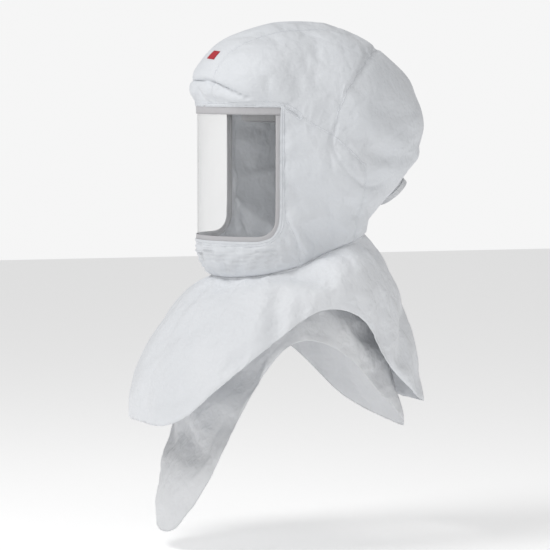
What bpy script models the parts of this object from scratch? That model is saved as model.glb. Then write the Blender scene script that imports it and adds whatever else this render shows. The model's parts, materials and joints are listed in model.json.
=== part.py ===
"""Loose-fitting air-fed hood: fabric hood with a visor, two shrouds, head harness, air duct and tube inlet.

Lengths in the functions are millimetres and become metres in the meshes. +Z is up, the wearer faces -Y, and
the wearer's left is +X. The origin is the middle of the head harness, in the plane of the headband.
"""

import math

import bmesh
import bpy
from mathutils import Matrix, Vector

MM = 0.001

# Hood shell
AXIS_Y = -13.0          # upright axis of the hood's cross-sections
DOME_Z = 10.0           # the dome starts here
DOME_HEIGHT = 100.0
SHELL = 1.5             # thickness of a fabric solid
SEAM_GAP = 1.2          # space between two sewn panels
SHELL_HALF_WIDTH = 119.0
SHELL_BACK = 150.0
BROW_PUFF = 12.0        # how far the brow stands out over the visor

# Visor
VISOR_R = 97.0
VISOR_Y = -62.0         # axis of the visor's bend
VISOR_TOP = 5.0
VISOR_BOTTOM = -165.0
VISOR_HALF_ARC = 129.0
VISOR_CORNER_TOP = 8.0
VISOR_CORNER_BOTTOM = 28.0
LENS = 1.0
TAPE = 1.2
TAPE_OVER = 6.0         # tape over the lens
TAPE_PAST = 2.0         # tape past the lens's edge
TOP_BAND = 10.0

# Head harness
HEAD_X = 80.0
HEAD_Y = 99.0
BAND_HALF_HEIGHT = 13.0
BAND = 2.2
STRAP_AXIS_Y = 14.0     # the rear straps are arcs round this upright axis
STRAP_R = 84.0
STRAP = 1.6
STRAP_HALF_HEIGHT = 10.0
STRAP_START = -3.0      # degrees from the temple to the strap's front end
TAIL_INNER_Z = 6.25     # root of the rack teeth, from the knob's axis
CROWN_Z = 77.0          # underside of the strap over the head

# Ratchet
MODULE = 1.0
PINION_TEETH = 10
PINION_R = MODULE * PINION_TEETH / 2
BACKLASH = 0.5
RATCHET_HALF_ANGLE = 24.0
KNOB_R = 17.0

# Air duct and inlet
DUCT_HALF_GAP = 6.0     # half the duct's outer depth
DUCT_WALL = 1.2
NOZZLE_HALF_WIDTH = 52.0
NOZZLE_GAP = 1.4        # between the duct's end and the nozzle
INLET_CENTRE = Vector((0, 94.0, -96.0))
INLET_TILT = 42.0       # the inlet's axis leans this far back from straight down
SOCKET_R = 21.0
SOCKET_BORE = 16.5
SOCKET_LENGTH = 17.0
SLEEVE_REACH = 4.4      # width of the elastic hem round the hood's opening
COLLAR_START = 11.2     # the turning collar's place along the inlet
BUTTON_PLACE = 7.0      # the release button's place along the inlet
BUTTON_TRAVEL = 2.5

WHITE = (0.80, 0.82, 0.85)
SHADE = (0.62, 0.62, 0.62)


# ---------------------------------------------------------------------------------------------- helpers
def clear_scene():
    for item in list(bpy.data.objects):
        bpy.data.objects.remove(item, do_unlink=True)


def material(name, colour, roughness, metallic=0.0, alpha=1.0):
    made = bpy.data.materials.new(name)
    made.use_nodes = True
    shader = made.node_tree.nodes["Principled BSDF"]
    shader.inputs["Base Color"].default_value = (*colour, 1.0)
    shader.inputs["Roughness"].default_value = roughness
    shader.inputs["Metallic"].default_value = metallic
    shader.inputs["Alpha"].default_value = alpha
    return made


def add_object(name, points, faces, look, at=(0, 0, 0), turn=None):
    """A mesh object from points in millimetres, set down at a place, turned by a 3x3 matrix."""
    mesh = bpy.data.meshes.new(name)
    mesh.from_pydata([Vector(p) * MM for p in points], [], faces)
    shape = bmesh.new()
    shape.from_mesh(mesh)
    bmesh.ops.recalc_face_normals(shape, faces=shape.faces)
    shape.to_mesh(mesh)
    shape.free()
    mesh.shade_smooth()
    mesh.set_sharp_from_angle(angle=math.radians(35))
    mesh.materials.append(look)
    made = bpy.data.objects.new(name, mesh)
    made.location = Vector(at) * MM
    if turn is not None:
        made.rotation_euler = turn.to_euler()
    bpy.context.collection.objects.link(made)
    return made


def smooth(low, high, value):
    t = min(1.0, max(0.0, (value - low) / (high - low)))
    return t * t * (3 - 2 * t)


def along(points, t):
    """Catmull-Rom curve through the points, t from 0 to 1."""
    spans = len(points) - 1
    place = min(max(t, 0.0), 1.0) * spans
    i = min(int(place), spans - 1)
    f = place - i
    p1, p2 = Vector(points[i]), Vector(points[i + 1])
    p0 = Vector(points[i - 1]) if i > 0 else p1 * 2 - p2
    p3 = Vector(points[i + 2]) if i + 2 <= spans else p2 * 2 - p1
    return 0.5 * (2 * p1 + (p2 - p0) * f + (2 * p0 - 5 * p1 + 4 * p2 - p3) * f * f
                  + (3 * p1 - p0 - 3 * p2 + p3) * f ** 3)


def seam(points, count, fine=240):
    """The curve through the points as count equal steps."""
    dense = [along(points, i / fine) for i in range(fine + 1)]
    reach = [0.0]
    for a, b in zip(dense, dense[1:]):
        reach.append(reach[-1] + (b - a).length)
    steps, j = [], 0
    for k in range(count + 1):
        goal = reach[-1] * k / count
        while j < fine - 1 and reach[j + 1] < goal:
            j += 1
        span = reach[j + 1] - reach[j]
        steps.append(dense[j].lerp(dense[j + 1], (goal - reach[j]) / span if span else 0.0))
    return steps


def mirrored(points):
    return [Vector((-p[0], p[1], p[2])) for p in points]


def grid_normals(grid, around):
    rows, cols = len(grid), len(grid[0])
    normals = []
    for j in range(rows):
        line = []
        for i in range(cols):
            if around:
                right, left = grid[j][(i + 1) % cols], grid[j][i - 1]
            else:
                right, left = grid[j][min(i + 1, cols - 1)], grid[j][max(i - 1, 0)]
            up, down = grid[min(j + 1, rows - 1)][i], grid[max(j - 1, 0)][i]
            line.append((right - left).cross(up - down).normalized())
        normals.append(line)
    return normals


def thick_sheet(name, grid, thickness, look, around=False, inward=1.0, facing=None):
    """A closed solid from a grid of points: the grid is one face and the other lies thickness behind it."""
    rows, cols = len(grid), len(grid[0])
    if facing:
        normals = [[facing(p) for p in row] for row in grid]
    else:
        normals = grid_normals(grid, around)
    front = [p for row in grid for p in row]
    back = [grid[j][i] - normals[j][i] * thickness * inward for j in range(rows) for i in range(cols)]
    shift = rows * cols
    faces = []
    last = cols if around else cols - 1

    def at(j, i):
        return j * cols + i % cols

    for j in range(rows - 1):
        for i in range(last):
            quad = (at(j, i), at(j, i + 1), at(j + 1, i + 1), at(j + 1, i))
            faces.append(quad)
            faces.append(tuple(v + shift for v in reversed(quad)))
    for i in range(last):
        faces.append((at(0, i + 1), at(0, i), at(0, i) + shift, at(0, i + 1) + shift))
        top = rows - 1
        faces.append((at(top, i), at(top, i + 1), at(top, i + 1) + shift, at(top, i) + shift))
    if not around:
        for j in range(rows - 1):
            faces.append((at(j, 0), at(j + 1, 0), at(j + 1, 0) + shift, at(j, 0) + shift))
            end = cols - 1
            faces.append((at(j + 1, end), at(j, end), at(j, end) + shift, at(j + 1, end) + shift))
    return add_object(name, front + back, faces, look)


def lathe(name, profile, look, steps=32, at=(0, 0, 0), turn=None, teeth=None):
    """A solid turned round its own Z axis from a closed profile of (radius, height), counter-clockwise."""
    points, faces = [], []
    count = len(profile)
    for k in range(steps):
        angle = 2 * math.pi * k / steps
        for index, (radius, height) in enumerate(profile):
            reach = radius + (teeth(index, k) if teeth else 0.0)
            points.append((reach * math.cos(angle), reach * math.sin(angle), height))
    for k in range(steps):
        here, there = k * count, (k + 1) % steps * count
        for i in range(count):
            j = (i + 1) % count
            faces.append((here + i, there + i, there + j, here + j))
    return add_object(name, points, faces, look, at, turn)


def turned_solid(name, profile, look, steps=24, at=(0, 0, 0), turn=None, teeth=None):
    """A solid disc or knob: an open profile from its lower centre to its upper centre, without the centres."""
    points, faces = [], []
    count = len(profile)
    for k in range(steps):
        angle = 2 * math.pi * k / steps
        for index, (radius, height) in enumerate(profile):
            reach = radius + (teeth(index, k) if teeth else 0.0)
            points.append((reach * math.cos(angle), reach * math.sin(angle), height))
    for k in range(steps):
        here, there = k * count, (k + 1) % steps * count
        for i in range(count - 1):
            faces.append((here + i, there + i, there + i + 1, here + i + 1))
    faces.append(tuple(k * count for k in reversed(range(steps))))
    faces.append(tuple(k * count + count - 1 for k in range(steps)))
    return add_object(name, points, faces, look, at, turn)


def prism(name, outline, low, high, look, place=None):
    """A solid with a plane outline (counter-clockwise) from low to high; place maps (u, v, w) to the part."""
    place = place or (lambda u, v, w: (u, v, w))
    count = len(outline)
    points = [place(u, v, low) for u, v in outline] + [place(u, v, high) for u, v in outline]
    faces = [tuple(reversed(range(count))), tuple(range(count, 2 * count))]
    for i in range(count):
        j = (i + 1) % count
        faces.append((i, j, j + count, i + count))
    return add_object(name, points, faces, look)


def swept_box(name, stations, look):
    """A bar through stations, each a list of four corner points in the same order."""
    points = [p for station in stations for p in station]
    faces = [(3, 2, 1, 0)]
    for k in range(len(stations) - 1):
        a, b = k * 4, k * 4 + 4
        for i in range(4):
            j = (i + 1) % 4
            faces.append((a + i, a + j, b + j, b + i))
    end = (len(stations) - 1) * 4
    faces.append((end, end + 1, end + 2, end + 3))
    return add_object(name, points, faces, look)


def cut(target, cutter):
    cutter.hide_render = True
    cutter.display_type = "WIRE"
    step = target.modifiers.new("cut", "BOOLEAN")
    step.operation = "DIFFERENCE"
    step.solver = "EXACT"
    step.object = cutter


def join_to(target, other):
    other.hide_render = True
    other.display_type = "WIRE"
    step = target.modifiers.new("join", "BOOLEAN")
    step.operation = "UNION"
    step.solver = "EXACT"
    step.object = other


def on_axis(item, point):
    """Moves an object's origin to a point, leaving its mesh where it is."""
    shift = Vector(point) * MM - item.location
    item.data.transform(Matrix.Translation(-shift))
    item.location = Vector(point) * MM


# --------------------------------------------------------------------------------------- the hood's form
def rib(stops, z):
    """Smooth value at a height, from stops of (height, value) listed downwards."""
    if z >= stops[0][0]:
        return stops[0][1]
    for (za, a), (zb, b) in zip(stops, stops[1:]):
        if z >= zb:
            return b + (a - b) * smooth(zb, za, z) * 0.5 + (a - b) * (z - zb) / (za - zb) * 0.5
    return stops[-1][1]


RIB_FRONT = [(10, 1.0), (-165, 1.0), (-185, 0.975), (-198, 0.93), (-212, 0.85), (-240, 0.76)]
RIB_EDGE = [(10, 1.0), (-165, 1.0), (-185, 0.97), (-212, 0.90), (-240, 0.82)]
RIB_SIDE = [(10, 1.0), (-40, 1.01), (-80, 0.97), (-110, 0.92), (-140, 0.85), (-165, 0.79), (-190, 0.76),
            (-240, 0.72)]
RIB_REAR = [(10, 0.955), (-14, 1.02), (-35, 0.97), (-64, 0.93), (-82, 0.83), (-98, 0.70), (-112, 0.61),
            (-140, 0.41), (-155, 0.36), (-240, 0.36)]
RIB_ANGLES = (0.0, 52.0, 95.0, 180.0)


def girth(angle, z):
    """How much of the plan's radius the hood keeps at a height."""
    ribs = [rib(r, z) for r in (RIB_FRONT, RIB_EDGE, RIB_SIDE, RIB_REAR)]
    for k in range(3):
        if angle <= RIB_ANGLES[k + 1]:
            return ribs[k] + (ribs[k + 1] - ribs[k]) * smooth(RIB_ANGLES[k], RIB_ANGLES[k + 1], angle)
    return ribs[3]


def plan_radius(angle):
    """Plan outline from the hood's axis: the visor's round in front, a half ellipse behind."""
    a = math.radians(angle)
    ahead = AXIS_Y - VISOR_Y
    bend = VISOR_R + SHELL
    front = ahead * math.cos(a) + math.sqrt(bend ** 2 - (ahead * math.sin(a)) ** 2)
    back = 1 / math.hypot(math.sin(a) / SHELL_HALF_WIDTH, math.cos(a) / SHELL_BACK)
    return front + (back - front) * smooth(50, 105, angle)


def on_hood(point):
    """Puts a point on the hood's outer face, along a line from the hood's axis."""
    x, y = point[0], point[1] - AXIS_Y
    angle = math.degrees(math.atan2(abs(x), -y))
    across = math.hypot(x, y)
    base = plan_radius(angle)
    puff = BROW_PUFF * (1 - smooth(40, 80, angle))
    if point[2] <= DOME_Z:
        scale = base * girth(angle, point[2]) / across
        return Vector((x * scale, AXIS_Y + y * scale, point[2]))
    rise = point[2] - DOME_Z
    size = math.hypot(across, rise)
    lift, flat = rise / size, across / size
    power = 2.15 - 0.25 * smooth(20, 90, angle) - 0.30 * smooth(90, 170, angle)
    foot = base * girth(angle, DOME_Z) + puff
    reach = ((flat / foot) ** power + (lift / DOME_HEIGHT) ** power) ** (-1 / power)
    height = reach * lift
    tuck = puff * (1 - smooth(4, 30, height))
    scale = reach - tuck
    return Vector((x * scale / size, AXIS_Y + y * scale / size, DOME_Z + rise * scale / size))


def hood_normal(point):
    """Outward direction of the hood's outer face at a point on it."""
    ray = Vector((point.x, point.y - AXIS_Y, max(point.z - DOME_Z, 0.0))).normalized()
    side = ray.cross(Vector((0, 0, 1)))
    side = side.normalized() if side.length > 1e-3 else Vector((1, 0, 0))
    up = side.cross(ray)
    across = on_hood(point + side * 2) - on_hood(point - side * 2)
    along_up = on_hood(point + up * 2) - on_hood(point - up * 2)
    return across.cross(along_up).normalized()


def panel(name, grid, look):
    return thick_sheet(name, inset(grid, SEAM_GAP / 2), SHELL, look, facing=hood_normal)


def patch(bottom, top, left, right):
    """Grid between four edges, laid on the hood. bottom and top run left to right, the sides run upwards."""
    rows, cols = len(left) - 1, len(bottom) - 1
    grid = []
    for j in range(rows + 1):
        v = j / rows
        line = []
        for i in range(cols + 1):
            u = i / cols
            edges = bottom[i] * (1 - v) + top[i] * v + left[j] * (1 - u) + right[j] * u
            corners = (bottom[0] * (1 - u) * (1 - v) + bottom[-1] * u * (1 - v)
                       + top[0] * (1 - u) * v + top[-1] * u * v)
            line.append(on_hood(edges - corners))
        grid.append(line)
    for _ in range(RELAX):
        for j in range(1, rows):
            for i in range(1, cols):
                mean = (grid[j][i - 1] + grid[j][i + 1] + grid[j - 1][i] + grid[j + 1][i]) / 4
                grid[j][i] = on_hood(mean)
    return grid


def inset(grid, distance):
    """Draws a grid's edge in by a distance."""
    rows, cols = len(grid), len(grid[0])
    for j in range(rows):
        for end, near in ((0, 1), (cols - 1, cols - 2)):
            step = grid[j][near] - grid[j][end]
            grid[j][end] = grid[j][end] + step.normalized() * min(distance, step.length / 2)
    for i in range(cols):
        for end, near in ((0, 1), (rows - 1, rows - 2)):
            step = grid[near][i] - grid[end][i]
            grid[end][i] = grid[end][i] + step.normalized() * min(distance, step.length / 2)
    return grid


def visor_point(arc, z, radius=VISOR_R):
    """A point on the visor's bend, arc millimetres from its middle."""
    angle = arc / VISOR_R
    return Vector((radius * math.sin(angle), VISOR_Y - radius * math.cos(angle), z))


def half_arc(z, grow=0.0):
    """Half the visor's developed width at a height, with the outline grown outwards."""
    low, high = VISOR_BOTTOM - grow, VISOR_TOP + grow
    full = VISOR_HALF_ARC + grow
    for corner, depth in ((VISOR_CORNER_BOTTOM + grow, z - low), (VISOR_CORNER_TOP + grow, high - z)):
        if depth < corner:
            drop = corner - max(depth, 0.0)
            return full - corner + math.sqrt(max(corner ** 2 - drop ** 2, 0.0))
    return full


# Seams of the hood's left side; the right side is their mirror image
EDGE_OUT = TAPE_PAST + 1.6
CHIN_CORNER_Z = -132.0
CROWN_SEAM = [(41, -152, 48), (40, -125, 80), (40, -70, 103), (40, -13, 108), (40, 35, 98),
              (40, 66, 80)]
BROW_SIDE = [(40, -150, 9), (41, -152, 30), (41, -152, 48)]
BROW_EDGE = [(40, -150, 9), (66, -130, 9), (86, -102, 9), (97, -80, 9)]
REAR_SEAM = [(118, -22, -31), (118, -14, 8), (108, 8, 45), (80, 42, 74), (40, 66, 80)]
CHEEK_SEAM_FRONT = [(97, -80, 9), (110, -54, -12), (118, -22, -31)]
CHEEK_SEAM_BACK = [(118, -22, -31), (119, 2, -52), (117, 20, -70)]
CHEEK_REAR = [(117, 20, -70), (112, 25, -95), (100, 22, -125), (84, 16, -166)]
NECK_REAR = [(84, 16, -166), (55, 35, -157), (0, 46, -152), (-55, 35, -157), (-84, 16, -166)]
CHIN_SIDE = [(98, -60, -196), (99, -63, -172), (99, -70, -150)]
NECK_SIDE = [(84, 16, -166), (90, -20, -180), (98, -60, -196)]
NECK_FRONT = [(98, -60, -196), (80, -100, -207), (40, -128, -212), (0, -136, -212), (-40, -128, -212),
              (-80, -100, -207), (-98, -60, -196)]

ACROSS_SIDE = 6
ALONG_BROW = 6
ALONG_CHEEK = 10
ACROSS_STRIP = 4
BACK_DEPTH = 4
VISOR_DEPTH = 6
CHIN_WIDTH = 24
CHIN_DEPTH = 4
CHEEK_DEPTH = VISOR_DEPTH + CHIN_DEPTH
RELAX = 120             # passes that even out a panel's grid


def both_sides(name, grid, look):
    """A panel on the left and its mirror image on the right."""
    left = inset(grid, SEAM_GAP / 2)
    thick_sheet(name + "_left", left, SHELL, look, facing=hood_normal)
    thick_sheet(name + "_right", [mirrored(row)[::-1] for row in left], SHELL, look, facing=hood_normal)


def laid(points, count):
    """A seam on the hood, as count equal steps."""
    return [on_hood(p) for p in seam(points, count)]


def fabric_panels(look):
    """The hood: centre strip, two upper sides, back, two cheeks and chin."""
    crown = laid(CROWN_SEAM, ALONG_BROW + ALONG_CHEEK)
    brow_side = laid(BROW_SIDE, ACROSS_SIDE)
    brow = laid(BROW_EDGE, ALONG_BROW)
    rear = laid(REAR_SEAM, ACROSS_SIDE)
    cheek_front = laid(CHEEK_SEAM_FRONT, ALONG_CHEEK)
    cheek_back = laid(CHEEK_SEAM_BACK, BACK_DEPTH)
    cheek_rear = laid(CHEEK_REAR, CHEEK_DEPTH)
    rim = [chin_rim(2 * k / CHIN_WIDTH - 1) for k in range(CHIN_WIDTH + 1)]
    neck_front = laid(NECK_FRONT[::-1], CHIN_WIDTH)
    chin_side = laid([neck_front[-1], CHIN_SIDE[1], CHIN_SIDE[2], rim[-1]], CHIN_DEPTH)

    strip_edge = brow_side[:-1] + crown
    front = across_strip(strip_edge[0])
    back = across_strip(strip_edge[-1])
    panel("crown_strip", patch(front, back, mirrored(strip_edge), strip_edge), look)
    both_sides("side_panel", patch(brow[:-1] + cheek_front, crown, brow_side, rear), look)

    over = rear + back[::-1][1:-1] + mirrored(rear)[::-1]
    under = laid(NECK_REAR, 2 * ACROSS_SIDE + ACROSS_STRIP)
    edge = (cheek_back + cheek_rear[1:])[::-1]
    back_panel = panel("back_panel", patch(under, over, edge, mirrored(edge)), look)

    visor_side = []
    for k in range(VISOR_DEPTH):
        z = BROW_EDGE[-1][2] + (CHIN_CORNER_Z - BROW_EDGE[-1][2]) * k / VISOR_DEPTH
        visor_side.append(on_hood(visor_point(VISOR_HALF_ARC + EDGE_OUT, z)))
    top = cheek_front + cheek_back[1:]
    under = laid(NECK_SIDE[::-1], len(top) - 1)
    front = (visor_side + chin_side[::-1])[::-1]
    both_sides("cheek_panel", patch(under, top, front, cheek_rear[::-1]), look)
    panel("chin_panel", patch(neck_front, rim, mirrored(chin_side), chin_side), look)
    return back_panel


def across_strip(corner):
    """Row across the crown strip, from its right edge to its left."""
    row = [on_hood((corner.x * side, corner.y, corner.z)) for side in (-1.0, -0.5, 0.0, 0.5, 1.0)]
    row[0], row[-1] = mirrored([corner])[0], corner
    return row


def chin_rim(t):
    """Upper edge of the chin panel: up both sides of the visor's lower corners, t from -1 to 1."""
    corner = VISOR_CORNER_BOTTOM + EDGE_OUT
    flat = VISOR_HALF_ARC + EDGE_OUT - corner
    rise = CHIN_CORNER_Z - (VISOR_BOTTOM + VISOR_CORNER_BOTTOM)
    bend = corner * math.pi / 2
    reach = abs(t) * (flat + bend + rise)
    if reach < flat:
        arc, z = reach, VISOR_BOTTOM - EDGE_OUT
    elif reach < flat + bend:
        turn = (reach - flat) / corner
        arc = flat + corner * math.sin(turn)
        z = VISOR_BOTTOM - EDGE_OUT + corner * (1 - math.cos(turn))
    else:
        arc, z = VISOR_HALF_ARC + EDGE_OUT, CHIN_CORNER_Z - (flat + bend + rise - reach)
    return on_hood(visor_point(math.copysign(arc, t), z))


# ----------------------------------------------------------------------------------------------- visor
def visor_lens(look):
    rows, cols = 8, 24
    grid = []
    for j in range(rows + 1):
        z = VISOR_BOTTOM + (VISOR_TOP - VISOR_BOTTOM) * (0.5 - 0.5 * math.cos(math.pi * j / rows))
        grid.append([visor_point(half_arc(z) * (2 * i / cols - 1), z) for i in range(cols + 1)])
    return thick_sheet("visor_lens", grid, LENS, look)


def edge_path(steps_side=6, steps_corner=5, steps_bottom=14):
    """Visor outline from the upper left, down, along the bottom and up the right side, as (arc, z) and its
    outward direction."""
    c = VISOR_CORNER_BOTTOM
    path = []
    top = VISOR_TOP - TOP_BAND
    for k in range(steps_side):
        path.append((VISOR_HALF_ARC, top + (VISOR_BOTTOM + c - top) * k / steps_side, 1.0, 0.0))
    for k in range(steps_corner):
        a = math.pi / 2 * k / steps_corner
        path.append((VISOR_HALF_ARC - c + c * math.cos(a), VISOR_BOTTOM + c - c * math.sin(a), math.cos(a),
                     -math.sin(a)))
    half = VISOR_HALF_ARC - c
    for k in range(steps_bottom // 2):
        path.append((half * (1 - 2 * k / steps_bottom), VISOR_BOTTOM, 0.0, -1.0))
    back = [(-arc, z, -du, dz) for arc, z, du, dz in reversed(path)]
    return path + [(0.0, VISOR_BOTTOM, 0.0, -1.0)] + back


def visor_bindings(look):
    """Band along the visor's top, and the tape down its sides and along its bottom."""
    radius = VISOR_R + 0.3 + TAPE
    inner, outer = [], []
    for arc, z, du, dz in edge_path():
        inner.append(visor_point(arc - du * TAPE_OVER, z - dz * TAPE_OVER, radius))
        outer.append(visor_point(arc + du * TAPE_PAST, z + dz * TAPE_PAST, radius))
    thick_sheet("visor_edge_tape", [inner, outer], TAPE, look)
    cols = 24
    low = VISOR_TOP - TOP_BAND + 0.8
    high = VISOR_TOP + TAPE_PAST
    reach = VISOR_HALF_ARC + TAPE_PAST
    grid = []
    for z in (low, (low + high) / 2, high):
        grid.append([visor_point(reach * (2 * i / cols - 1), z, radius) for i in range(cols + 1)])
    thick_sheet("visor_top_band", grid, TAPE, look)


# --------------------------------------------------------------------------------------------- shrouds
OUTER_HEM = [(0, -238, -397), (60, -236, -398), (110, -222, -385), (140, -195, -352), (152, -150, -314),
             (156, -100, -276), (152, -52, -246), (150, -25, -247)]
OUTER_HEM_REAR = [(150, -25, -247), (144, 5, -259), (136, 27, -282), (120, 52, -324), (96, 88, -354),
                  (56, 126, -376), (0, 148, -384)]
INNER_HEM = [(0, -212, -541), (40, -208, -533), (72, -196, -504), (92, -182, -466), (104, -168, -430),
             (108, -146, -385), (111, -116, -334), (111, -72, -288), (110, -25, -296)]
INNER_HEM_REAR = [(110, -25, -296), (107, 15, -324), (94, 58, -371), (64, 98, -402), (0, 120, -416)]
SHOULDER_ANGLE = 97.0
OUTER_BULGE = {"front": (0, -20, 10), "side": (14, 0, 10), "rear": (0, 18, 12)}
INNER_TUCK = 8.0


def neck_ring(angle, tuck, drop):
    """A point of the neck seam at an angle round the hood's axis, drawn in and down."""
    whole = NECK_REAR[2::-1] + NECK_SIDE[1:] + NECK_FRONT[1:4]
    best = None
    for k in range(160):
        p = along(whole, k / 159)
        reached = math.degrees(math.atan2(p.x, -(p.y - AXIS_Y)))
        if best is None or abs(reached - angle) < best[0]:
            best = (abs(reached - angle), p.z)
    a = math.radians(angle)
    p = on_hood((100 * math.sin(a), AXIS_Y - 100 * math.cos(a), best[1]))
    out = Vector((p.x, p.y - AXIS_Y, 0)).normalized()
    return p - out * tuck - Vector((0, 0, drop))


def bulge_at(turn, scale):
    front = Vector(OUTER_BULGE["front"]) * max(0.0, math.cos(turn)) ** 2
    side = Vector(OUTER_BULGE["side"]) * math.sin(turn) ** 2
    rear = Vector(OUTER_BULGE["rear"]) * max(0.0, -math.cos(turn)) ** 2
    return (front + side + rear) * scale


def shroud(name, hem, angles, tuck, drop, bulge, cols, look, rows=8):
    """Half of a shroud, symmetric about the middle plane: neck seam to hem, one hem curve mirrored."""
    start, end = angles
    half = seam(hem, cols)
    grid = []
    for j in range(rows + 1):
        s = 1 - j / rows
        line = []
        for i in range(cols + 1):
            angle = start + (end - start) * i / cols
            top = neck_ring(angle, tuck, drop)
            low = half[i]
            push = bulge_at(math.radians(angle), bulge) * 4 * s * (1 - s)
            line.append(top.lerp(low, s) + push)
        grid.append(line)
    if start == 0.0:
        whole = [mirrored(row[:0:-1]) + row for row in grid]
    else:
        whole = [row[:-1] + mirrored(row[::-1]) for row in grid]
    for row in whole:
        row[0] = row[0].lerp(row[1], 0.06)
        row[-1] = row[-1].lerp(row[-2], 0.06)
    return thick_sheet(name, whole, SHELL, look)


def shrouds(outer_look, inner_look):
    low_front = (0.0, SHOULDER_ANGLE)
    shroud("outer_bib_front", OUTER_HEM, low_front, 0.0, 1.6, 1.0, 12, outer_look)
    shroud("outer_bib_rear", OUTER_HEM_REAR, (SHOULDER_ANGLE, 180.0), 0.0, 1.6, 1.0, 10, outer_look)
    shroud("inner_bib_front", INNER_HEM, low_front, INNER_TUCK, 1.6, 0.3, 12, inner_look)
    shroud("inner_bib_rear", INNER_HEM_REAR, (SHOULDER_ANGLE, 180.0), INNER_TUCK, 1.6, 0.3, 10, inner_look)


def neck_elastic(look):
    """Elastic band inside the neck seam."""
    cols = 36
    grid = []
    for rise in (0.0, 8.0):
        line = []
        for i in range(cols):
            angle = 360.0 * i / cols
            p = neck_ring(angle if angle <= 180 else 360 - angle, 5.0, -2.0 - rise)
            line.append(p if angle <= 180 else Vector((-p.x, p.y, p.z)))
        grid.append(line)
    return thick_sheet("neck_elastic", grid, 1.2, look, around=True)


def label_patch(look):
    """Blank patch sewn to the brow."""
    grid = []
    for z in (62, 69, 76):
        line = []
        for x in (6, 15, 24):
            p = on_hood((x, -145, z))
            line.append(p + hood_normal(p) * 2.0)
        grid.append(line)
    return thick_sheet("label_patch", grid, 0.6, look)


# -------------------------------------------------------------------------------------- head harness
def head_point(angle, z, out=0.0):
    """A point round the head at an angle from the brow, out from the headband's inner face."""
    a = math.radians(angle)
    p = Vector((HEAD_X * math.sin(a), -HEAD_Y * math.cos(a), z))
    normal = Vector((math.sin(a) / HEAD_X, -math.cos(a) / HEAD_Y, 0)).normalized()
    return p + normal * out


def band_round_head(name, reach, z_low, z_high, face, thickness, look, cols=28):
    grid = []
    for z in (z_low, z_high):
        grid.append([head_point(-reach + 2 * reach * i / cols, z, face) for i in range(cols + 1)])
    return thick_sheet(name, grid, thickness, look)


def strap_point(turn, radius, z):
    """A point round the straps' axis: turn is 0 at the left, 90 behind the head."""
    a = math.radians(turn)
    return Vector((radius * math.cos(a), STRAP_AXIS_Y + radius * math.sin(a), z))


def arc_solid(name, start, end, low, high, inner, outer, look, step=4.0):
    """A curved bar round the straps' axis."""
    count = max(1, math.ceil((end - start) / step))
    stations = []
    for k in range(count + 1):
        a = start + (end - start) * k / count
        stations.append([strap_point(a, inner, low), strap_point(a, outer, low), strap_point(a, outer, high),
                         strap_point(a, inner, high)])
    return swept_box(name, stations, look)


RACK_PITCH = math.degrees(math.pi * MODULE / STRAP_R)
RACK_FLANK = math.tan(math.radians(20)) / math.pi
RACK_TIP = 0.25 - RACK_FLANK - BACKLASH / (2 * math.pi * MODULE)


def rack_height(turn):
    """Height of the rack's toothed edge above the knob's axis, a tooth standing at the middle."""
    place = ((turn - 90.0) / RACK_PITCH) % 1.0
    gap = min(place, 1.0 - place)
    root, crest = TAIL_INNER_Z, PINION_R - MODULE
    return crest + (root - crest) * min(1.0, max(0.0, (gap - RACK_TIP) / (2.25 * RACK_FLANK)))


def strap(name, look):
    """Left rear strap: a full-height band from the temple, then a tail with a rack on its lower edge."""
    full_end, tail_end = 38.0, 112.0
    rack_start, rack_end = 76.0, 104.0
    turns = [STRAP_START + (full_end - STRAP_START) * k / 9 for k in range(9)] + [full_end, full_end + 1.5]
    turns += [full_end + 1.5 + (rack_start - full_end - 1.5) * k / 8 for k in range(1, 9)]
    reach = int((rack_end - rack_start) / 2 / RACK_PITCH)
    for k in range(-reach, reach + 1):
        for offset in (-RACK_TIP - 2.25 * RACK_FLANK, -RACK_TIP, RACK_TIP, RACK_TIP + 2.25 * RACK_FLANK):
            turns.append(90.0 + (k + offset) * RACK_PITCH)
    turns += [rack_end + 1 + (tail_end - rack_end - 1) * k / 2 for k in range(3)]
    stations = []
    for turn in turns:
        low = -STRAP_HALF_HEIGHT
        if turn > full_end:
            low = TAIL_INNER_Z
        if rack_start < turn < rack_end:
            low = rack_height(turn)
        inner, outer = STRAP_R - STRAP / 2, STRAP_R + STRAP / 2
        stations.append([strap_point(turn, inner, low), strap_point(turn, outer, low),
                         strap_point(turn, outer, STRAP_HALF_HEIGHT),
                         strap_point(turn, inner, STRAP_HALF_HEIGHT)])
    made = swept_box(name, stations, look)
    on_axis(made, (0, STRAP_AXIS_Y, 0))
    return made


def right_strap(left, name):
    """The right strap is the left one turned half a turn about the knob's axis."""
    made = left.copy()
    made.data = left.data.copy()
    made.name = name
    made.data.name = name
    made.data.transform(Matrix.Diagonal((-1, 1, -1, 1)))
    bpy.context.collection.objects.link(made)
    return made


def strap_guide(name, side, look):
    """Loop on the end of the headband that a strap slides through."""
    inner, outer = STRAP_R - 3.2, STRAP_R + 2.6
    high = STRAP_HALF_HEIGHT + 2.6
    loop = arc_solid(name, 2, 12, -high, high, inner, outer, look)
    hole = arc_solid(name + "_slot", -2, 16, -high + 1.8, high - 1.8, inner + 2.0, outer - 1.4, look)
    cut(loop, hole)
    if side < 0:
        for item in (loop, hole):
            item.data.transform(Matrix.Diagonal((-1, 1, 1, 1)))
            item.data.flip_normals()
    return loop


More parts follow.
